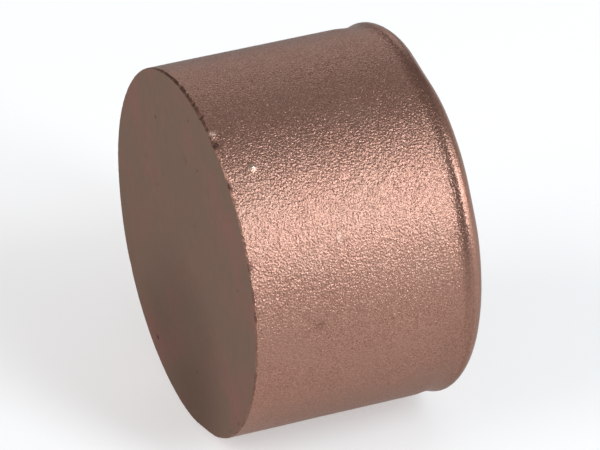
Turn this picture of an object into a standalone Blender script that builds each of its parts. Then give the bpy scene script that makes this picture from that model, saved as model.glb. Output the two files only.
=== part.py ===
"""A cast bronze pipe cap with a parallel 1 inch pipe thread and a loose flat sealing washer.

The cap lies on its side. Its axis is the X axis, the closed end's outer face is centred on the origin
and faces -X, and the threaded mouth opens towards +X. Each piece is modelled standing up, closed end
down, and an empty on the cap's axis lays it down. Units are metres.
"""

import math

import bmesh
import bpy
from mathutils.geometry import interpolate_bezier

MM = 0.001

# Outside of the casting
BODY_DIAMETER = 44.5 * MM
BEAD_DIAMETER = 44.9 * MM  # the slightly raised bead round the mouth
HEIGHT = 29.3 * MM
END_EDGE_CHAMFER = 0.3 * MM
FLARE_LENGTH = 3.5 * MM  # over which the wall swells to the bead, most of it near the bead
FLARE_SKEW = 2.4
CREST_WIDTH = 0.1 * MM
RIM_ROUND_LENGTH = 2.1 * MM  # the bead's rounding towards the mouth, along the axis
RIM_FLAT_DIAMETER = 36.4 * MM  # the flat rim starts here
RIM_CREST_TANGENT = 0.75 * MM  # how long the rounding keeps the crest's direction, and below the rim's
RIM_FLAT_TANGENT = 3.0 * MM

# Inside: G 1 parallel pipe thread, 11 threads per inch
THREAD_PITCH = 25.4 / 11 * MM
THREAD_DEPTH = 0.640327 * THREAD_PITCH
THREAD_MAJOR_DIAMETER = 33.249 * MM
THREAD_HALF_ANGLE = math.radians(27.5)
THREAD_FLAT = THREAD_PITCH / 6  # stands for the rounded root
MOUTH_CHAMFER_DIAMETER = 34.2 * MM
END_THICKNESS = 5.0 * MM
RELIEF_DIAMETER = 34.2 * MM  # plain recess behind the thread, where the washer lies
RELIEF_LENGTH = 5.8 * MM

# Flat sealing washer, wider than the thread's crests, so that it can't drop out
WASHER_OUTER_DIAMETER = 33.4 * MM
WASHER_INNER_DIAMETER = 21.0 * MM
WASHER_THICKNESS = 3.0 * MM
WASHER_EDGE_CHAMFER = 0.3 * MM
WASHER_FLOOR_GAP = 0.3 * MM

# Facets
TURN_STEPS = 64
FLARE_STEPS = 5
RIM_ROUND_POINTS = 8

# Worked out from the above
BODY_RADIUS = BODY_DIAMETER / 2
BEAD_RADIUS = BEAD_DIAMETER / 2
CREST_TOP = HEIGHT - RIM_ROUND_LENGTH
CREST_BOTTOM = CREST_TOP - CREST_WIDTH
THREAD_MAJOR_RADIUS = THREAD_MAJOR_DIAMETER / 2
THREAD_MINOR_RADIUS = THREAD_MAJOR_RADIUS - THREAD_DEPTH
MOUTH_CHAMFER_RADIUS = MOUTH_CHAMFER_DIAMETER / 2
RELIEF_TOP = END_THICKNESS + RELIEF_LENGTH
WASHER_BOTTOM = END_THICKNESS + WASHER_FLOOR_GAP

MERGE_DISTANCE = 0.01 * MM


def clear_scene():
    for obj in list(bpy.data.objects):
        bpy.data.objects.remove(obj)


def new_collection(name):
    collection = bpy.data.collections.new(name)
    bpy.context.scene.collection.children.link(collection)
    return collection


def new_material(name, colour, roughness, metallic):
    material = bpy.data.materials.new(name)
    material.use_nodes = True
    shader = material.node_tree.nodes["Principled BSDF"]
    shader.inputs["Base Color"].default_value = (*colour, 1.0)
    shader.inputs["Roughness"].default_value = roughness
    shader.inputs["Metallic"].default_value = metallic
    return material


def outline_object(name, profile, closed, collection):
    """A wire outline in the XZ plane, from (radius, height) pairs, ready for a Screw modifier."""
    mesh = bpy.data.meshes.new(name)
    edges = [(i, i + 1) for i in range(len(profile) - 1)]
    if closed:
        edges.append((len(profile) - 1, 0))
    mesh.from_pydata([(radius, 0.0, height) for radius, height in profile], edges, [])
    obj = bpy.data.objects.new(name, mesh)
    collection.objects.link(obj)
    return obj


def add_screw(obj, steps, offset=0.0, turns=1, merge=True):
    screw = obj.modifiers.new("Turn", "SCREW")
    screw.axis = "Z"
    screw.angle = 2 * math.pi
    screw.screw_offset = offset
    screw.iterations = turns
    screw.steps = steps
    screw.render_steps = steps
    screw.use_merge_vertices = merge
    screw.merge_threshold = MERGE_DISTANCE
    return screw


def evaluated_copy(obj, name):
    """Replaces obj by a plain mesh object holding its evaluated mesh."""
    graph = bpy.context.evaluated_depsgraph_get()
    mesh = bpy.data.meshes.new_from_object(obj.evaluated_get(graph))
    copy = bpy.data.objects.new(name, mesh)
    copy.matrix_world = obj.matrix_world
    for collection in obj.users_collection:
        collection.objects.link(copy)
    bpy.data.objects.remove(obj)
    return copy


def flare_points():
    """The wall's soft swelling from the body to the lower edge of the bead's crest."""
    points = []
    for i in range(FLARE_STEPS + 1):
        t = i / FLARE_STEPS
        late = t**FLARE_SKEW
        ease = late * late * (3 - 2 * late)
        radius = BODY_RADIUS + (BEAD_RADIUS - BODY_RADIUS) * ease
        points.append((radius, CREST_BOTTOM - FLARE_LENGTH * (1 - t)))
    return points


def rim_round_points():
    """The bead's rounding, a Bezier curve from the upper edge of its crest to the flat rim."""
    rim_radius = RIM_FLAT_DIAMETER / 2
    curve = interpolate_bezier(
        (BEAD_RADIUS, CREST_TOP),
        (BEAD_RADIUS, CREST_TOP + RIM_CREST_TANGENT),
        (rim_radius + RIM_FLAT_TANGENT, HEIGHT),
        (rim_radius, HEIGHT),
        RIM_ROUND_POINTS,
    )
    return [(point.x, point.y) for point in curve]


def cap_profile():
    """The casting's outline as (radius, height) pairs, from the middle of the bore's floor up the bore, over
    the rim, down the outside and to the middle of the closed end."""
    mouth_chamfer = MOUTH_CHAMFER_RADIUS - THREAD_MINOR_RADIUS
    inside = [
        (0.0, END_THICKNESS),
        (RELIEF_DIAMETER / 2, END_THICKNESS),
        (RELIEF_DIAMETER / 2, RELIEF_TOP),
        (THREAD_MINOR_RADIUS, RELIEF_TOP),
        (THREAD_MINOR_RADIUS, HEIGHT - mouth_chamfer),
        (MOUTH_CHAMFER_RADIUS, HEIGHT),
    ]
    outside = list(reversed(flare_points() + rim_round_points()))
    closed_end = [
        (BODY_RADIUS, END_EDGE_CHAMFER),
        (BODY_RADIUS - END_EDGE_CHAMFER, 0.0),
        (0.0, 0.0),
    ]
    return inside + outside + closed_end


def make_thread_cutter(collection):
    """A helical ridge that cuts the thread's groove. It reaches from the relief to beyond the mouth."""
    inner_radius = THREAD_MINOR_RADIUS - THREAD_DEPTH / 2
    depth = THREAD_MAJOR_RADIUS - inner_radius
    root_half = THREAD_FLAT / 2
    base_half = root_half + depth * math.tan(THREAD_HALF_ANGLE)
    start = RELIEF_TOP - THREAD_PITCH / 2
    turns = math.ceil((HEIGHT + THREAD_PITCH - start) / THREAD_PITCH)
    profile = [
        (inner_radius, start + base_half),
        (THREAD_MAJOR_RADIUS, start + root_half),
        (THREAD_MAJOR_RADIUS, start - root_half),
        (inner_radius, start - base_half),
    ]
    wire = outline_object("thread_groove_wire", profile, True, collection)
    add_screw(wire, TURN_STEPS, offset=THREAD_PITCH, turns=turns, merge=False)
    cutter = evaluated_copy(wire, "thread_groove_cutter")

    shape = bmesh.new()
    shape.from_mesh(cutter.data)
    bmesh.ops.remove_doubles(shape, verts=shape.verts, dist=MERGE_DISTANCE)
    bmesh.ops.holes_fill(shape, edges=shape.edges, sides=len(profile))
    bmesh.ops.recalc_face_normals(shape, faces=shape.faces)
    shape.to_mesh(cutter.data)
    shape.free()
    cutter.rotation_euler.z = math.pi / TURN_STEPS  # its edges cross the bore's faces, not their edges
    cutter.hide_render = True
    cutter.display_type = "WIRE"
    return cutter


def make_cap_body(collection, cutters):
    """The casting: one turned profile makes all of it but the thread, which is then cut."""
    cap = outline_object("cap_body", cap_profile(), False, collection)
    add_screw(cap, TURN_STEPS)
    thread = cap.modifiers.new("Thread", "BOOLEAN")
    thread.operation = "DIFFERENCE"
    thread.object = make_thread_cutter(cutters)
    return cap


def make_sealing_washer(collection):
    outer = WASHER_OUTER_DIAMETER / 2
    inner = WASHER_INNER_DIAMETER / 2
    top = WASHER_BOTTOM + WASHER_THICKNESS
    edge = WASHER_EDGE_CHAMFER
    profile = [
        (inner, WASHER_BOTTOM),
        (inner, top),
        (outer - edge, top),
        (outer, top - edge),
        (outer, WASHER_BOTTOM + edge),
        (outer - edge, WASHER_BOTTOM),
    ]
    washer = outline_object("sealing_washer", profile, True, collection)
    add_screw(washer, TURN_STEPS)
    return washer


def lay_down(pieces, collection):
    """The empty on the cap's axis turns every piece from standing to lying, mouth towards +X."""
    axis = bpy.data.objects.new("cap_axis", None)
    axis.rotation_euler = (0.0, math.pi / 2, 0.0)
    collection.objects.link(axis)
    for piece in pieces:
        piece.parent = axis


def main():
    clear_scene()
    parts = new_collection("pipe_cap")
    cutters = new_collection("cutters")
    cap = make_cap_body(parts, cutters)
    washer = make_sealing_washer(parts)
    cap.data.materials.append(new_material("cast_bronze", (0.47, 0.27, 0.21), 0.45, 1.0))
    washer.data.materials.append(new_material("black_rubber", (0.02, 0.02, 0.02), 0.7, 0.0))
    lay_down([cap, washer, *cutters.objects], parts)


main()
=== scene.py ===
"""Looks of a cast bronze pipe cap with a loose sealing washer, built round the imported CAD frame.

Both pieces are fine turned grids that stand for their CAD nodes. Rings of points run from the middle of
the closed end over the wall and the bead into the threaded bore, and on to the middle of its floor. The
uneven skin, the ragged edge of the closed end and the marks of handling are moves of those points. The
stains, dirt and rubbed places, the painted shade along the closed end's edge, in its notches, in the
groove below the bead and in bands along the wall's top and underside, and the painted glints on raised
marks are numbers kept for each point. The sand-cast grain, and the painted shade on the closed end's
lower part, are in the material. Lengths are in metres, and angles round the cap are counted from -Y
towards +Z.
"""

import math

import bmesh
import bpy
import numpy as np
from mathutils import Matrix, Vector, noise
from mathutils.geometry import interpolate_bezier


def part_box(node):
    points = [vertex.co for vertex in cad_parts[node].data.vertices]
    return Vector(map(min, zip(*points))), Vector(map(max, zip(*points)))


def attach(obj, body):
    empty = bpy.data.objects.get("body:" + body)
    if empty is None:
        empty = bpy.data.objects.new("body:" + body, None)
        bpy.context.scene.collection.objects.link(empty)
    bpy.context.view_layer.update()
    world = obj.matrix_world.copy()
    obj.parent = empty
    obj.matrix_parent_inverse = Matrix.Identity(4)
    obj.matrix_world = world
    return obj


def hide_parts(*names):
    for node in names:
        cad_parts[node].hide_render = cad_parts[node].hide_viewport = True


MM = 0.001

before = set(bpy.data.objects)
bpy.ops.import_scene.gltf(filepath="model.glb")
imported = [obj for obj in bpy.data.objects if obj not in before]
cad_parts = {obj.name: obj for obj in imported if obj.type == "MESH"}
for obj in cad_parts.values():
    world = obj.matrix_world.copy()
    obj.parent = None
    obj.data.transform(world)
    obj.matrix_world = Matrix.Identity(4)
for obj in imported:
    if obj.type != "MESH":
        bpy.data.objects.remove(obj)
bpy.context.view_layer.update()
_, CAP_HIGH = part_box("cap_body")
WASHER_LOW, WASHER_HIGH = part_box("sealing_washer")

# Outside of the casting, inside its CAD box
HEIGHT = CAP_HIGH.x
BEAD_RADIUS = CAP_HIGH.z
BEAD_RISE = 0.2 * MM
BODY_RADIUS = BEAD_RADIUS - BEAD_RISE
SKIN_ALLOWANCE = 0.03 * MM  # the bead's crest stays this far inside the box, so that its grain does too
FLARE_LENGTH = 3.5 * MM
GROOVE_DEPTH = 0.14 * MM
GROOVE_PLACE = 0.5  # where the groove is deepest, as a share of the flare
RISE_START = 0.54  # where the wall begins to rise out of it to the bead's crest
STEEPEST = 0.80  # where that rise is steepest, as a share of it
RIM_ROUND_LENGTH = 2.1 * MM
CREST_WIDTH = 0.1 * MM
RIM_FLAT_RADIUS = 18.2 * MM
RIM_CREST_TANGENT = 0.75 * MM
RIM_FLAT_TANGENT = 3.0 * MM
CREST_TOP = HEIGHT - RIM_ROUND_LENGTH
CREST_BOTTOM = CREST_TOP - CREST_WIDTH
CREST_RADIUS = BEAD_RADIUS - SKIN_ALLOWANCE
FLARE_START = CREST_BOTTOM - FLARE_LENGTH

# Inside: the G 1 thread and the recess that holds the washer
THREAD_PITCH = 25.4 / 11 * MM
THREAD_DEPTH = 0.640327 * THREAD_PITCH
THREAD_MAJOR_RADIUS = 33.249 / 2 * MM
THREAD_MINOR_RADIUS = THREAD_MAJOR_RADIUS - THREAD_DEPTH
MOUTH_CHAMFER_RADIUS = 17.1 * MM
END_THICKNESS = 5.0 * MM
RELIEF_TOP = 10.8 * MM
RELIEF_RADIUS = 17.1 * MM
# One turn of the thread, as places along the pitch: root, flank, crest and flank again
THREAD_PHASES = (0, 1 / 12, 1 / 4, 5 / 12, 1 / 2, 7 / 12, 3 / 4, 11 / 12)

# The washer. Each dimple: degrees round the cap, radius in mm, and depth in mm
WASHER_INNER_RADIUS = 10.5 * MM
WASHER_CORNER = 0.35 * MM
CORNER_STEPS = 4
DIMPLE_CIRCLE = 12.8 * MM
WASHER_DIMPLES = ((15, 0.95, 0.22), (135, 0.95, 0.22), (255, 0.95, 0.22), (62, 0.50, 0.30))

# Grid
COLUMNS = 512
WALL_SPACING = 0.27 * MM
WALL_START = 0.75 * MM  # the wall's even rings start here, clear of the closed end's edge
FACE_INNER_RADIUS = 19 * MM  # the closed end's rings are wide apart inside this, and closer outside it
SHARP_ANGLE = math.radians(35)
MERGE_DISTANCE = 1e-7

SEED_OFFSET = Vector((3.7, 1.3, 8.1))

# How uneven the casting is: the size of the lumps, and how far they stand out
FINE_LUMP, FINE_LIFT, FINE_EDGE_LIFT = 0.6 * MM, 0.008 * MM, 0.03 * MM
BROAD_LUMP, BROAD_LIFT = 7 * MM, 0.015 * MM

# The closed end's edge, and the marks on the skin: places are degrees round the cap and mm along it
EDGE_BREAK = 0.14 * MM
EDGE_RAGGED = 0.20 * MM
EDGE_LUMP = 0.6 * MM
EDGE_BLEND = 0.05 * MM
EDGE_LEAST = 0.02 * MM
# The closed end's broken edge is painted darker brown in patches of this size: painted shade along it,
# darker where it was filed
EDGE_PAINTED_SHADE, EDGE_PATCH = 0.55, 1.2 * MM
FILED_DEPTH = 0.22 * MM
# The edge is most ragged on one side. The half width and the blend are in degrees
RAGGED_SIDE, RAGGED_HALF_WIDTH, RAGGED_BLEND, RAGGED_ELSEWHERE = 48, 66, 10, 0.15
# How dark the groove below the bead is all round, and the painted shade added round one angle, where the
# groove turns away from the key light
GROOVE_DARKENING, GROOVE_PAINTED_SHADE, SHADED_GROOVE_SIDE, SHADED_GROOVE_HALF_WIDTH = 0.10, 0.33, 35, 45
CREST_DULLNESS, CREST_DULL_HALF_WIDTH = 0.32, 0.35 * MM
# Each worn place of the rim: angle, half width in degrees, and mm taken off
RIM_WEAR = ((79, 11, 0.30), (31, 9, 0.10), (200, 16, 0.15), (310, 12, 0.2))
# Each filed stretch of the edge: angle, half width in degrees, and share of the depth
FILED_STRETCHES = ((77, 9, 0.9), (93, 13, 0.35), (190, 14, 0.7), (285, 7, 0.9))
# Each mark: angle, x, half width round the cap, half length along it, and how far it stands out
MARKS = (
    (65.3, 0.20, 0.48, 0.50, -0.30),  # notch in the edge
    (68.8, 0.50, 0.28, 0.28, 0.15),  # burr thrown up beside it
    (50.6, 0.10, 0.25, 0.22, -0.16),
    (25.8, 0.15, 0.30, 0.25, -0.20),
    (54.8, 3.50, 0.32, 0.32, 0.20),  # bead of metal
    (29.0, 11.4, 0.60, 0.15, 0.04),  # light scratch
    (160.0, 9.0, 0.30, 0.60, -0.08),
    (214.0, 0.20, 0.50, 0.30, -0.20),
    (248.0, 17.0, 0.24, 0.24, 0.13),
    (305.0, 6.5, 0.22, 0.80, -0.06),
)
# Raised marks are rubbed bright metal, partly a painted glint
RUBBED_GLINT_HEIGHT = 0.09  # a mark that stands out this far, in mm, is rubbed bright, and a lower one less
# Soft stains on the wall, and two long bands of painted shade along its top and underside, at 116 and -50
# degrees: angle, x, half width in degrees, half length in mm, and how dark they are
STAINS_AND_SHADE_BANDS = (
    (116, 13, 8, 60, 0.42),
    (14, 8, 12, 5, 0.07),
    (-22, 25, 36, 3, 0.09),
    (-50, 15, 14, 60, 0.16),
    (55, 24, 13, 2.5, 0.08),
    (3.4, 8.0, 1.5, 0.7, 0.34),
)
# Pits and stains in the closed end, and three wide soft patches of painted shade on its lower part: y, z
# and radius in mm, and how dark they are
FACE_PITS_AND_SHADE = (
    (9.1, 13.7, 0.20, 0.9),
    (-1.5, 19.0, 0.17, 0.8),
    (-4.3, 13.8, 0.18, 0.8),
    (-0.6, 13.1, 0.55, 0.18),
    (12.4, 6.6, 0.30, 0.20),
    (8.6, 4.7, 0.30, 0.25),
    (-3.1, 5.6, 0.28, 0.25),
    (-16.7, 4.7, 0.17, 0.6),
    (9.4, -17.4, 0.28, 0.9),
    (-3.5, -14.5, 0.20, 0.7),
    (-7.1, -8.0, 0.17, 0.5),
    (-16.7, -13.7, 0.20, 0.7),
    (-14.1, -16.4, 0.16, 0.5),
    # Wide soft patches of painted shade on the closed end's lower part
    (10.5, -14.0, 4.0, 0.10),
    (-3.5, -19.5, 6.0, 0.12),
    (0.0, -13.0, 10.0, 0.24),
)


# ---------------------------------------------------------------- turned grids


def angles():
    """One angle for each column, with the first repeated at the end: the seam is welded later."""
    return np.linspace(0.0, 2 * math.pi, COLUMNS + 1)


def coarse_angles():
    """The same, with each odd column moved onto the one before it: the weld leaves half the columns."""
    return angles()[np.arange(COLUMNS + 1) // 2 * 2]


def ring(along, radius, turn=None):
    """A ring of points as (x, radius, angle) for each column. Each may be a number or an array."""
    ones = np.ones(COLUMNS + 1)
    return np.stack([along * ones, radius * ones, angles() if turn is None else turn])


def straight_rings(start, end, count, turn=None):
    """Rings evenly spaced from start to end, both (x, radius), without the first."""
    shares = np.linspace(0.0, 1.0, count + 1)[1:]
    length, rise = end[0] - start[0], end[1] - start[1]
    return [ring(start[0] + length * t, start[1] + rise * t, turn) for t in shares]


def swell(t):
    """From 0 at 0 to 1 at 1: a slope that grows evenly as far as STEEPEST, and then dies away."""
    t = max(t, 0.0)
    return t * t / STEEPEST if t < STEEPEST else 1 - (1 - t) ** 2 / (1 - STEEPEST)


def flare_rings(count):
    """The wall's dip into the groove below the bead, and its rise to the bead's crest."""
    rings = []
    for t in np.linspace(0.0, 1.0, count + 1)[1:]:
        dip = GROOVE_DEPTH * smoothstep(0.0, GROOVE_PLACE, t)
        rise = (CREST_RADIUS - BODY_RADIUS + GROOVE_DEPTH) * swell((t - RISE_START) / (1 - RISE_START))
        rings.append(ring(CREST_BOTTOM - FLARE_LENGTH * (1 - t), BODY_RADIUS - dip + rise))
    return rings


def rim_round_rings(count):
    """The bead's rounding, from the upper edge of its crest to the flat rim."""
    curve = interpolate_bezier(
        (CREST_TOP, CREST_RADIUS),
        (CREST_TOP + RIM_CREST_TANGENT, CREST_RADIUS),
        (HEIGHT, RIM_FLAT_RADIUS + RIM_FLAT_TANGENT),
        (HEIGHT, RIM_FLAT_RADIUS),
        count + 1,
    )
    return [ring(point.x, point.y) for point in curve[1:]]


def thread_radius(along, turn):
    """The bore's radius at x, where turn is the angle round the cap as a share of a turn."""
    phase = (along - RELIEF_TOP) / THREAD_PITCH - turn
    from_root = np.abs((phase + 0.5) % 1.0 - 0.5)
    groove = np.clip((5 / 12 - from_root) * 3, 0.0, 1.0)
    thread = THREAD_MINOR_RADIUS + THREAD_DEPTH * groove
    chamfer = MOUTH_CHAMFER_RADIUS - (HEIGHT - along)
    return np.maximum(thread, chamfer)


def thread_rings():
    """Rings that follow the helix from the mouth down to the recess, held between the two."""
    angle = coarse_angles()
    turn = angle / (2 * math.pi)
    turns = math.ceil((HEIGHT - RELIEF_TOP) / THREAD_PITCH) + 1
    rings = []
    for whole in reversed(range(-1, turns)):
        for phase in reversed(THREAD_PHASES):
            along = np.clip(RELIEF_TOP + THREAD_PITCH * (whole + phase + turn), RELIEF_TOP, HEIGHT)
            rings.append(ring(along, thread_radius(along, turn), angle))
    return rings


def grid_mesh(name, sections, closed):
    """A closed mesh from sections of rings, each (its finish, rings).

    A first and last ring of radius 0 close the mesh, or else the rings form a loop (closed). Every vertex
    keeps one number for each finish: 1 on the rings of that section, and 0 elsewhere.
    """
    table = np.array([one for _, rings in sections for one in rings])
    along, radius, turn = table[:, 0], table[:, 1], table[:, 2]
    points = np.stack([along, -radius * np.cos(turn), radius * np.sin(turn)], axis=-1)
    rows, columns = along.shape
    index = np.arange(rows * columns).reshape(rows, columns)
    if closed:
        index = np.vstack([index, index[:1]])
    corners = [index[:-1, :-1], index[:-1, 1:], index[1:, 1:], index[1:, :-1]]
    quads = np.stack(corners, axis=-1).reshape(-1, 4)
    mesh = bpy.data.meshes.new(name)
    mesh.from_pydata(points.reshape(-1, 3).tolist(), [], quads.tolist())
    row_finish = [finish for finish, rings in sections for _ in rings]
    for finish in sorted(set(row_finish)):
        on = np.repeat([float(each == finish) for each in row_finish], columns)
        store(mesh, finish, on)
    shape = bmesh.new()
    shape.from_mesh(mesh)
    bmesh.ops.remove_doubles(shape, verts=shape.verts, dist=MERGE_DISTANCE)
    bmesh.ops.dissolve_degenerate(shape, edges=shape.edges, dist=MERGE_DISTANCE)
    bmesh.ops.recalc_face_normals(shape, faces=shape.faces)
    shape.to_mesh(mesh)
    shape.free()
    return mesh


def new_piece(name, mesh):
    piece = bpy.data.objects.new(name, mesh)
    bpy.context.scene.collection.objects.link(piece)
    return piece


def coordinates(mesh):
    flat = np.empty(len(mesh.vertices) * 3)
    mesh.vertices.foreach_get("co", flat)
    return flat.reshape(-1, 3)


def set_coordinates(mesh, points):
    mesh.vertices.foreach_set("co", points.ravel())
    mesh.update()


def store(mesh, name, values):
    """Keeps one number for each vertex where the material can read it."""
    attribute = mesh.attributes.get(name) or mesh.attributes.new(name, "FLOAT", "POINT")
    attribute.data.foreach_set("value", values.astype(np.float32))


def stored(mesh, name):
    values = np.empty(len(mesh.vertices), dtype=np.float32)
    mesh.attributes[name].data.foreach_get("value", values)
    return values.astype(float)


def smoothstep(low, high, values):
    t = np.clip((values - low) / (high - low), 0.0, 1.0)
    return t * t * (3 - 2 * t)


def noise_at(points, size, octaves=1):
    """Smooth noise between about -1 and 1, in lumps of the given size."""
    total = np.zeros(len(points))
    for octave in range(octaves):
        scale = 2**octave / size
        shift = SEED_OFFSET * (octave + 1)
        total += [noise.noise(Vector(p) * scale + shift) / 2**octave for p in points]
    return total


def degrees_from(angle, middle):
    """How far the angle, in radians, is from the middle, in degrees between -180 and 180."""
    return (np.degrees(angle) - middle + 180) % 360 - 180


def bell(angle, middle, half_width):
    """A hump round the cap, 1 at the middle and nearly 0 two half widths away, both in degrees."""
    return np.exp(-((degrees_from(angle, middle) / half_width) ** 2))


def hill(angle, along, place, size):
    """A round hill, 1 at place and nearly 0 two sizes away. Place is (degrees round the cap, x)."""
    across = np.radians(degrees_from(angle, place[0])) * BODY_RADIUS
    return np.exp(-((across / size[0]) ** 2 + ((along - place[1]) / size[1]) ** 2))


# ---------------------------------------------------------------- the casting


def filed_share(angle):
    """How far the closed end's edge has been filed at this angle, from 0 to 1 or a little more."""
    return sum(depth * bell(angle, place, half) for place, half, depth in FILED_STRETCHES)


def ragged_share(angle):
    """How ragged the closed end's edge is at this angle: 1 on its ragged side, and less elsewhere."""
    off = np.abs(degrees_from(angle, RAGGED_SIDE))
    low, high = RAGGED_HALF_WIDTH - RAGGED_BLEND, RAGGED_HALF_WIDTH + RAGGED_BLEND
    return 1 - (1 - RAGGED_ELSEWHERE) * smoothstep(low, high, off)


def edge_width():
    """How much of the closed end's edge is broken off in each column, more where it was filed."""
    angle = angles()
    around = [Vector((math.cos(a), math.sin(a), 0.3)) * BODY_RADIUS / EDGE_LUMP for a in angle]
    lumps = np.array([noise.noise(p) + 0.6 * noise.noise(p * 2.3) for p in around])
    ragged = EDGE_RAGGED * ragged_share(angle) * lumps
    return np.maximum(EDGE_BREAK + FILED_DEPTH * filed_share(angle) + ragged, EDGE_LEAST)


def casting_sections():
    """The casting's rings, from the middle of the closed end round to the middle of the bore's floor."""
    edge = edge_width()
    face_end = BODY_RADIUS - edge
    skin_start = edge + EDGE_BLEND
    wall_rings = round(FLARE_START / WALL_SPACING)
    bore = coarse_angles()

    face = [ring(0.0, 0.0)]
    face += straight_rings((0.0, 0.0), (0.0, FACE_INNER_RADIUS), 8)
    face += straight_rings((0.0, FACE_INNER_RADIUS), (0.0, face_end - EDGE_BLEND), 6)
    broken_edge = [ring(0.0, face_end)] + straight_rings((0.0, face_end), (edge, BODY_RADIUS), 2)
    skin = [ring(skin_start, BODY_RADIUS)]
    skin += straight_rings((skin_start, BODY_RADIUS), (WALL_START, BODY_RADIUS), 2)
    skin += straight_rings((WALL_START, BODY_RADIUS), (FLARE_START, BODY_RADIUS), wall_rings)
    skin += flare_rings(20)
    skin += straight_rings((CREST_BOTTOM, CREST_RADIUS), (CREST_TOP, CREST_RADIUS), 2)
    skin += rim_round_rings(12)[:-1]
    turned = [ring(HEIGHT, RIM_FLAT_RADIUS)]
    turned += straight_rings((HEIGHT, RIM_FLAT_RADIUS), (HEIGHT, MOUTH_CHAMFER_RADIUS), 3)
    turned += thread_rings()
    turned += straight_rings((RELIEF_TOP, THREAD_MINOR_RADIUS), (RELIEF_TOP, RELIEF_RADIUS), 1, bore)
    cored = straight_rings((RELIEF_TOP, RELIEF_RADIUS), (END_THICKNESS, RELIEF_RADIUS), 8, bore)
    cored += straight_rings((END_THICKNESS, RELIEF_RADIUS), (END_THICKNESS, 0.0), 12, bore)
    outside = [("end_face", face), ("edge", broken_edge), ("skin", skin)]
    return outside + [("turned", turned), ("cored", cored)]


def roughen(mesh, along, radius, angle):
    """Makes the outside uneven, presses the marks into it and wears the rim.

    Returns the painted shade in the hollow marks near the closed end's edge, and how bright the raised
    marks are, rubbed metal with a painted glint, for each vertex.
    """
    points = coordinates(mesh)
    skin, edge, end_face = stored(mesh, "skin"), stored(mesh, "edge"), stored(mesh, "end_face")
    outside = (skin > 0) | (edge > 0)
    # The closed end's rim follows the skin, so that a notch doesn't fold the edge over it
    face_rim = end_face * smoothstep(BODY_RADIUS - 2.5 * MM, BODY_RADIUS - 0.5 * MM, radius)
    follows = np.where(outside, smoothstep(RIM_FLAT_RADIUS, RIM_FLAT_RADIUS + 1 * MM, radius), face_rim)

    lift = np.zeros(len(points))
    moved = follows > 0
    near_edge = ragged_share(angle[moved]) * (1 - smoothstep(0.2 * MM, 1.2 * MM, along[moved]))
    lift[moved] = (FINE_LIFT + FINE_EDGE_LIFT * near_edge) * noise_at(points[moved], FINE_LUMP)
    lift[moved] += BROAD_LIFT * noise_at(points[moved], BROAD_LUMP, 2)
    hollow_shade = np.zeros(len(points))
    rubbed_and_glint = np.zeros(len(points))
    for place, x, half_width, half_length, height in MARKS:
        mark = hill(angle, along, (place, x * MM), (half_width * MM, half_length * MM))
        lift += height * MM * mark
        # Painted shade in the hollow marks near the closed end's edge
        hollow_shade += outside * (height < 0) * np.minimum(2.2 * mark, 1.0) * (along < 1.2 * MM)
        # Raised marks: rubbed bright metal, partly a painted glint
        rubbed_and_glint += outside * min(max(height / RUBBED_GLINT_HEIGHT, 0.0), 1.0) * mark
    out = 1 + follows * lift / np.maximum(radius, MM)
    points[:, 1] *= out
    points[:, 2] *= out
    rounding = skin * smoothstep(CREST_TOP, HEIGHT - 0.5 * RIM_ROUND_LENGTH, along)
    for place, half_width, depth in RIM_WEAR:
        points[:, 0] -= rounding * depth * MM * bell(angle, place, half_width)
    set_coordinates(mesh, points)
    return hollow_shade, np.clip(1.4 * rubbed_and_glint, 0.0, 1.0)


def soil_and_shade(mesh, along, angle, hollow_shade):
    """Keeps for each vertex how dark the outside is from dirt, stains, the dull crest and painted shade,
    how worn it is, and the painted shade along the closed end's edge.
    """
    skin, edge = stored(mesh, "skin"), stored(mesh, "edge")
    outside = (skin > 0) | (edge > 0)
    into_groove = smoothstep(CREST_BOTTOM - 1.6 * MM, CREST_BOTTOM - 0.6 * MM, along)
    out_of_groove = smoothstep(CREST_BOTTOM - 0.3 * MM, CREST_BOTTOM + 0.1 * MM, along)
    in_groove = into_groove * (1 - out_of_groove)
    # The groove is darker all round, with painted shade added round one side, where it turns away from
    # the key light
    groove_darkening_and_shade = GROOVE_DARKENING + GROOVE_PAINTED_SHADE * bell(angle, SHADED_GROOVE_SIDE, SHADED_GROOVE_HALF_WIDTH)
    dull_crest = CREST_DULLNESS * np.exp(-(((along - CREST_BOTTOM) / CREST_DULL_HALF_WIDTH) ** 2))
    # Stains, and two long bands of painted shade along the wall's top and underside
    stains_and_shade = sum(
        depth * bell(angle, place, half) * np.exp(-(((along - x * MM) / (length * MM)) ** 2))
        for place, x, half, length, depth in STAINS_AND_SHADE_BANDS
    )
    dirt_and_shade = np.maximum(np.maximum(in_groove * groove_darkening_and_shade, dull_crest), stains_and_shade)
    store(mesh, "dirt_and_shade", skin * dirt_and_shade)
    worn_crest = smoothstep(CREST_BOTTOM - 0.3 * MM, CREST_BOTTOM, along)
    store(mesh, "smooth", outside * (0.5 * into_groove + 0.5 * worn_crest))
    # Painted shade along the closed end's broken edge, in patches and darker where it was filed, with the
    # painted shade of the hollow marks
    patchy_edge_shade = EDGE_PAINTED_SHADE * (1 + 0.9 * noise_at(coordinates(mesh), EDGE_PATCH))
    store(mesh, "edge", np.clip(edge * (patchy_edge_shade + 1.6 * filed_share(angle)) + hollow_shade, 0.0, 1.0))


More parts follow.
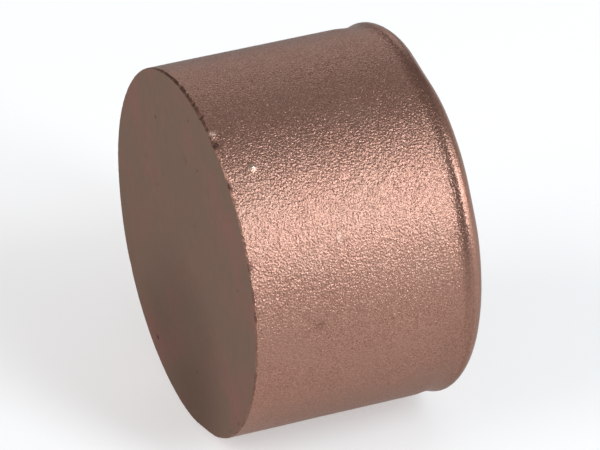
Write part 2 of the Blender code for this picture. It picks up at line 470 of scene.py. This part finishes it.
def make_casting():
    mesh = grid_mesh("cap_casting", casting_sections(), closed=False)
    points = coordinates(mesh)
    along = points[:, 0]
    radius = np.hypot(points[:, 1], points[:, 2])
    angle = np.arctan2(points[:, 2], -points[:, 1])
    hollow_shade, rubbed_and_glint = roughen(mesh, along, radius, angle)
    store(mesh, "rubbed_and_glint", rubbed_and_glint)
    soil_and_shade(mesh, along, angle, hollow_shade)
    mesh.shade_smooth()
    mesh.set_sharp_from_angle(angle=SHARP_ANGLE)
    casting = new_piece("cap_casting", mesh)
    mesh.materials.append(casting_material())
    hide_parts("cap_body")
    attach(casting, "cap")
    return casting


# ---------------------------------------------------------------- the washer


def washer_rings():
    """A loop of rings round the washer's section: four rounded corners, with flats between them."""
    corner = WASHER_CORNER
    inner, outer = WASHER_INNER_RADIUS, WASHER_HIGH.z
    bottom, top = WASHER_LOW.x, WASHER_HIGH.x
    # Middle of each corner's rounding, the angle it starts at, and the rings on the flat that follows it
    corners = (
        (bottom + corner, outer - corner, 180, 6),
        (top - corner, outer - corner, 90, 24),
        (top - corner, inner + corner, 0, 6),
        (bottom + corner, inner + corner, -90, 6),
    )
    rings = []
    for place, (along, radius, start, flat_count) in enumerate(corners):
        for step in range(CORNER_STEPS + 1):
            turn = math.radians(start - 90 * step / CORNER_STEPS)
            end = (along + corner * math.cos(turn), radius + corner * math.sin(turn))
            rings.append(ring(*end))
        next_along, next_radius, turn = corners[(place + 1) % len(corners)][:3]
        turn = math.radians(turn)
        next_start = (next_along + corner * math.cos(turn), next_radius + corner * math.sin(turn))
        rings += straight_rings(end, next_start, flat_count)[:-1]
    return rings


def press_dimples(mesh):
    """The marks of the mould's ejector pins in the washer's upper side, and a smaller one at the gate."""
    points = coordinates(mesh)
    upper = points[:, 0] > WASHER_HIGH.x - 0.01 * MM
    for angle, size, depth in WASHER_DIMPLES:
        turn = math.radians(angle)
        middle = (-DIMPLE_CIRCLE * math.cos(turn), DIMPLE_CIRCLE * math.sin(turn))
        distance = np.hypot(points[:, 1] - middle[0], points[:, 2] - middle[1])
        points[:, 0] -= upper * depth * MM * (1 - smoothstep(0.75 * size * MM, size * MM, distance))
    set_coordinates(mesh, points)


def make_washer():
    mesh = grid_mesh("washer_rubber", [("rubber", washer_rings())], closed=True)
    press_dimples(mesh)
    mesh.shade_smooth()
    washer = new_piece("washer_rubber", mesh)
    mesh.materials.append(rubber_material())
    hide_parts("sealing_washer")
    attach(washer, "washer")
    return washer


# ---------------------------------------------------------------- materials

# The sand-cast grain: sizes of its lumps and facets, depth of its relief, and how far the facets tip
SAND_LUMP, FINE_SAND_LUMP, RELIEF_LUMP, FACET_SIZE = 0.25 * MM, 0.12 * MM, 0.235 * MM, 0.105 * MM
RELIEF_DEPTH, FACET_TILT = 0.080 * MM, 0.36

# Colours of the casting
SKIN_DARK, SKIN_BRIGHT, SKIN_PATCH = (0.210, 0.105, 0.076), (0.452, 0.242, 0.183), (0.328, 0.187, 0.140)
END_GREY, END_RED = (0.210, 0.133, 0.099), (0.257, 0.129, 0.104)
TURNED_BRIGHT, RUBBED_GLINT_BRIGHT = (0.62, 0.40, 0.27), (0.64, 0.46, 0.37)
EDGE_SHADE_BROWN, DIRT_AND_SHADE_BROWN, PIT_AND_SHADE_BROWN = (0.095, 0.050, 0.038), (0.07, 0.030, 0.024), (0.05, 0.03, 0.025)
GRAZING_TINT = (0.70, 0.68, 0.66)


class Nodes:
    """Short ways to add nodes to one material."""

    def __init__(self, name):
        self.material = bpy.data.materials.new(name)
        self.material.use_nodes = True
        self.tree = self.material.node_tree
        self.shader = self.tree.nodes["Principled BSDF"]
        self.place = self.add("ShaderNodeTexCoord").outputs["Object"]

    def add(self, kind, **settings):
        node = self.tree.nodes.new(kind)
        for key, value in settings.items():
            setattr(node, key, value)
        return node

    def feed(self, socket, value):
        """Links value to the socket if it is another node's output, and sets it if it is a constant."""
        if isinstance(value, bpy.types.NodeSocket):
            self.tree.links.new(value, socket)
        else:
            socket.default_value = value

    def math(self, operation, *values):
        node = self.add("ShaderNodeMath", operation=operation)
        for socket, value in zip(node.inputs, values):
            self.feed(socket, value)
        return node.outputs[0]

    def attribute(self, name):
        return self.add("ShaderNodeAttribute", attribute_name=name).outputs["Fac"]

    def noise(self, size, detail=2.0, roughness=0.5, place=None):
        """Noise from 0 to 1 in lumps of about this size."""
        node = self.add("ShaderNodeTexNoise")
        self.feed(node.inputs["Vector"], place or self.place)
        node.inputs["Scale"].default_value = 1 / size
        node.inputs["Detail"].default_value = detail
        node.inputs["Roughness"].default_value = roughness
        return node.outputs["Fac"]

    def voronoi(self, size):
        """Cells of about this size: the distance from their middles, as a share of it, and a random
        vector for each cell."""
        node = self.add("ShaderNodeTexVoronoi")
        self.feed(node.inputs["Vector"], self.place)
        node.inputs["Scale"].default_value = 1 / size
        return node.outputs["Distance"], node.outputs["Color"]

    def pits(self, spacing, radius):
        """1 in round pits of this radius, one in each cell of this spacing, and 0 between them."""
        distance, _ = self.voronoi(spacing)
        return self.remap(distance, 0.5 * radius / spacing, 1.5 * radius / spacing, 1.0, 0.0)

    def section(self):
        """The place as (x, distance from the axis, 0), the same all round the cap, and that distance."""
        split = self.add("ShaderNodeSeparateXYZ")
        self.feed(split.inputs[0], self.place)
        along, y, z = split.outputs
        square = self.math("ADD", self.math("MULTIPLY", y, y), self.math("MULTIPLY", z, z))
        radius = self.math("SQRT", square)
        joined = self.add("ShaderNodeCombineXYZ")
        self.feed(joined.inputs["X"], along)
        self.feed(joined.inputs["Y"], radius)
        return joined.outputs[0], radius

    def near(self, point, radius, strength):
        """The strength within this radius of a point, and 0 outside it."""
        node = self.add("ShaderNodeVectorMath", operation="DISTANCE")
        self.feed(node.inputs[0], self.place)
        self.feed(node.inputs[1], point)
        return self.remap(node.outputs["Value"], 0.5 * radius, 1.5 * radius, strength, 0.0)

    def facets(self, tilt, strength, normal):
        """The normal, tipped its own random way in each cell, as the grains of a sand-cast skin are."""
        tip = self.vector("SUBTRACT", tilt, (0.5, 0.5, 0.5))
        scaled = self.add("ShaderNodeVectorMath", operation="SCALE")
        self.feed(scaled.inputs[0], tip)
        self.feed(scaled.inputs["Scale"], strength)
        return self.vector("NORMALIZE", self.vector("ADD", normal, scaled.outputs[0]))

    def vector(self, operation, *values):
        node = self.add("ShaderNodeVectorMath", operation=operation)
        for socket, value in zip(node.inputs, values):
            self.feed(socket, value)
        return node.outputs[0]

    def remap(self, value, low, high, to_low=0.0, to_high=1.0):
        node = self.add("ShaderNodeMapRange", interpolation_type="SMOOTHSTEP")
        for socket, number in zip(node.inputs, (value, low, high, to_low, to_high)):
            self.feed(socket, number)
        return node.outputs[0]

    def mix(self, share, first, second):
        node = self.add("ShaderNodeMix", data_type="RGBA")
        self.feed(node.inputs[0], share)
        self.feed(node.inputs[6], first)
        self.feed(node.inputs[7], second)
        return node.outputs[2]

    def bump(self, height, distance):
        node = self.add("ShaderNodeBump")
        node.inputs["Distance"].default_value = distance
        self.feed(node.inputs["Height"], height)
        return node.outputs["Normal"]

    def finish(self, **inputs):
        for name, value in inputs.items():
            self.feed(self.shader.inputs[name.replace("_", " ")], value)
        return self.material


def colour(red, green, blue):
    return (red, green, blue, 1.0)


def casting_material():
    """Reddish bronze: a grained sand-cast skin, a flat dull closed end, and a bright turned bore."""
    n = Nodes("cast_bronze_skin")
    cast = n.math("MAXIMUM", n.attribute("skin"), n.attribute("cored"))
    machined, end_face, edge = n.attribute("turned"), n.attribute("end_face"), n.attribute("edge")
    distance, tilt = n.voronoi(FACET_SIZE)
    sand = n.noise(SAND_LUMP, 2.0, 0.5)
    grain = n.math("SUBTRACT", n.math("ADD", sand, 0.25), n.math("MULTIPLY", distance, 0.6))

    fine = n.math("MULTIPLY", n.noise(FINE_SAND_LUMP, 1.0), 0.7)
    shade = n.math("ADD", fine, n.math("MULTIPLY", sand, 0.3))
    skin = n.mix(n.remap(shade, 0.3, 0.7), colour(*SKIN_DARK), colour(*SKIN_BRIGHT))
    skin = n.mix(n.remap(n.noise(5 * MM, 3.0), 0.35, 0.7, 0.0, 0.5), skin, colour(*SKIN_PATCH))
    section, radius = n.section()
    outer = n.remap(radius, 0.3 * BODY_RADIUS, BODY_RADIUS, 0.25, 1.0)
    blush = n.math("MULTIPLY", n.remap(n.noise(7 * MM, 3.0, 0.5), 0.42, 0.72), outer)
    dull = n.mix(blush, colour(*END_GREY), colour(*END_RED))
    pit = n.pits(5 * MM, 0.12 * MM)
    dull = n.mix(n.math("MULTIPLY", pit, 0.4), dull, colour(*PIT_AND_SHADE_BROWN))
    # Pits and stains, and wide patches of painted shade on the closed end's lower part
    for y, z, size, strength in FACE_PITS_AND_SHADE:
        dull = n.mix(n.near((0.0, y * MM, z * MM), size * MM, strength), dull, colour(*PIT_AND_SHADE_BROWN))
    base = n.mix(machined, skin, colour(*TURNED_BRIGHT))
    base = n.mix(end_face, base, dull)
    # Painted shade along the closed end's broken edge and in its notches
    base = n.mix(n.math("MULTIPLY", edge, 0.9), base, colour(*EDGE_SHADE_BROWN))
    # Dirt, stains and the dull crest, with painted shade in the groove below the bead and in bands along
    # the wall's top and underside
    base = n.mix(n.attribute("dirt_and_shade"), base, colour(*DIRT_AND_SHADE_BROWN))
    # Rubbed bright metal on raised marks, partly a painted glint
    base = n.mix(n.attribute("rubbed_and_glint"), base, colour(*RUBBED_GLINT_BRIGHT))

    rough = n.math("ADD", 0.34, n.math("MULTIPLY", n.noise(1.5 * MM, 2.0), 0.10))
    rough = n.math("SUBTRACT", rough, n.math("MULTIPLY", machined, 0.20))
    rough = n.math("ADD", rough, n.math("MULTIPLY", n.math("MAXIMUM", end_face, edge), 0.22))
    worn = n.attribute("smooth")
    rough = n.math("SUBTRACT", rough, n.math("MULTIPLY", worn, 0.08))
    tool_marks = n.math("MULTIPLY", n.noise(0.16 * MM, 2.0, 0.5, section), machined)
    relief = n.math("MULTIPLY", cast, n.math("SUBTRACT", 1.0, n.math("MULTIPLY", worn, 0.6)))
    lumps = n.math("ADD", n.noise(RELIEF_LUMP, 0.0), n.math("MULTIPLY", grain, 0.32))
    height = n.math("ADD", n.math("MULTIPLY", lumps, relief), n.math("MULTIPLY", tool_marks, 0.11))
    normal = n.bump(height, RELIEF_DEPTH)
    normal = n.facets(tilt, n.math("MULTIPLY", relief, FACET_TILT), normal)
    tint = colour(*GRAZING_TINT)
    return n.finish(Base_Color=base, Metallic=1.0, Roughness=rough, Normal=normal, Specular_Tint=tint)


def rubber_material():
    n = Nodes("moulded_rubber")
    dust = n.remap(n.noise(2 * MM, 4.0), 0.45, 0.75)
    base = n.mix(dust, colour(0.012, 0.012, 0.013), colour(0.035, 0.033, 0.031))
    rough = n.math("ADD", 0.55, n.math("MULTIPLY", dust, 0.25))
    normal = n.bump(n.noise(0.15 * MM, 3.0), 0.01 * MM)
    return n.finish(Base_Color=base, Roughness=rough, Normal=normal)


# ---------------------------------------------------------------- studio and camera

FLOOR_SIZE = 16.0
FLOOR_COLOUR = (0.935, 0.92, 0.91)
FLOOR_GLOW = 0.40  # the share of its brightness that comes from below
WORLD_DIM, WORLD_BRIGHT = 0.18, 0.60
WORLD_BELOW = 0.60  # below the horizon, where a view's range ends before the floor does
WORLD_BRIGHT_SIDE = (0.72, -0.69, 0.0)
WORLD_TINT = (0.96, 1.0, 1.03)
SOFTBOX_DISTANCE = 0.7
# Name, azimuth and elevation in degrees, width and height in m, power in W, and tint
SOFTBOXES = (
    ("key_softbox", 28.0, 34.5, (0.17, 0.55), 3.48, (0.88, 1.0, 1.09)),
    ("side_softbox", 60.0, 20.0, (0.40, 0.36), 1.4, (0.97, 1.0, 1.03)),
    ("back_softbox", 158.0, 24.0, (0.35, 0.30), 0.50, (0.90, 1.0, 1.08)),
    ("fill_softbox", -90.0, 36.0, (0.60, 0.60), 3.3, (1.0, 1.0, 1.0)),
)

CAMERA_AZIMUTH, CAMERA_ELEVATION = -22.46, 31.96
CAMERA_LENS = 329.0  # mm on a 36 mm wide sensor
CAMERA_DISTANCE = 644.2 * MM  # along the view, from the camera to the closed end's centre
CAMERA_RIGHT = 13.52 * MM  # how far right of that centre, and above it, the middle of the view passes
CAMERA_UP = 3.36 * MM


def direction(azimuth, elevation):
    """A unit vector towards azimuth (0 is -Y, 90 is +X) and elevation, in degrees."""
    a, e = math.radians(azimuth), math.radians(elevation)
    return Vector((math.sin(a) * math.cos(e), -math.cos(a) * math.cos(e), math.sin(e)))


def aim(obj, position, towards):
    obj.location = position
    obj.rotation_euler = (towards - position).to_track_quat("-Z", "Y").to_euler()


def make_floor():
    """A light table: part of its brightness comes from below, so that shadows stay pale."""
    mesh = bpy.data.meshes.new("floor")
    half = FLOOR_SIZE / 2
    square = ((-half, -half), (half, -half), (half, half), (-half, half))
    mesh.from_pydata([(x, y, -BEAD_RADIUS) for x, y in square], [], [(0, 1, 2, 3)])
    n = Nodes("pale_floor")
    glow = {"Emission_Color": colour(*FLOOR_COLOUR), "Emission_Strength": FLOOR_GLOW}
    level = [(1 - FLOOR_GLOW) * one for one in FLOOR_COLOUR]
    mesh.materials.append(n.finish(Base_Color=colour(*level), Roughness=0.9, **glow))
    new_piece("floor", mesh)


def make_softbox(name, azimuth, elevation, size, power, tint):
    light = bpy.data.lights.new(name, "AREA")
    light.shape = "RECTANGLE"
    light.size, light.size_y = size
    light.energy = power
    light.color = tint
    lamp = bpy.data.objects.new(name, light)
    bpy.context.scene.collection.objects.link(lamp)
    aim(lamp, direction(azimuth, elevation) * SOFTBOX_DISTANCE, Vector((0.0, 0.0, 0.0)))


def make_world():
    """A plain sky, brighter on one side, and an even level below the horizon."""
    world = bpy.data.worlds.new("studio")
    world.use_nodes = True
    tree = world.node_tree
    link = tree.links.new

    def add(kind, operation=None):
        node = tree.nodes.new(kind)
        if operation:
            node.operation = operation
        return node

    place = add("ShaderNodeTexCoord")
    towards = add("ShaderNodeVectorMath", "DOT_PRODUCT")
    towards.inputs[1].default_value = WORLD_BRIGHT_SIDE
    sky = add("ShaderNodeMapRange")
    sky.inputs["From Min"].default_value = -1.0
    sky.inputs["To Min"].default_value = WORLD_DIM
    sky.inputs["To Max"].default_value = WORLD_BRIGHT
    split = add("ShaderNodeSeparateXYZ")
    is_below = add("ShaderNodeMath", "LESS_THAN")
    is_below.inputs[1].default_value = 0.0
    below = add("ShaderNodeMath", "MULTIPLY")
    below.inputs[1].default_value = WORLD_BELOW
    brightest = add("ShaderNodeMath", "MAXIMUM")
    tint = add("ShaderNodeVectorMath", "SCALE")
    tint.inputs[0].default_value = WORLD_TINT

    link(place.outputs["Generated"], towards.inputs[0])
    link(towards.outputs["Value"], sky.inputs["Value"])
    link(place.outputs["Generated"], split.inputs[0])
    link(split.outputs["Z"], is_below.inputs[0])
    link(is_below.outputs[0], below.inputs[0])
    link(sky.outputs["Result"], brightest.inputs[0])
    link(below.outputs[0], brightest.inputs[1])
    link(brightest.outputs[0], tint.inputs["Scale"])
    link(tint.outputs[0], tree.nodes["Background"].inputs["Color"])
    bpy.context.scene.world = world


def make_camera():
    camera = bpy.data.objects.new("camera", bpy.data.cameras.new("camera"))
    bpy.context.scene.collection.objects.link(camera)
    camera.data.lens = CAMERA_LENS
    camera.data.clip_start = 0.01
    back = direction(CAMERA_AZIMUTH, CAMERA_ELEVATION)
    turn = (-back).to_track_quat("-Z", "Y")
    right, up = turn @ Vector((1, 0, 0)), turn @ Vector((0, 1, 0))
    camera.rotation_euler = turn.to_euler()
    camera.location = back * CAMERA_DISTANCE + right * CAMERA_RIGHT + up * CAMERA_UP
    bpy.context.scene.camera = camera


def main():
    make_camera()
    make_casting()
    make_washer()
    make_floor()
    make_world()
    for softbox in SOFTBOXES:
        make_softbox(*softbox)
    bpy.context.scene.view_settings.view_transform = "Standard"


main()
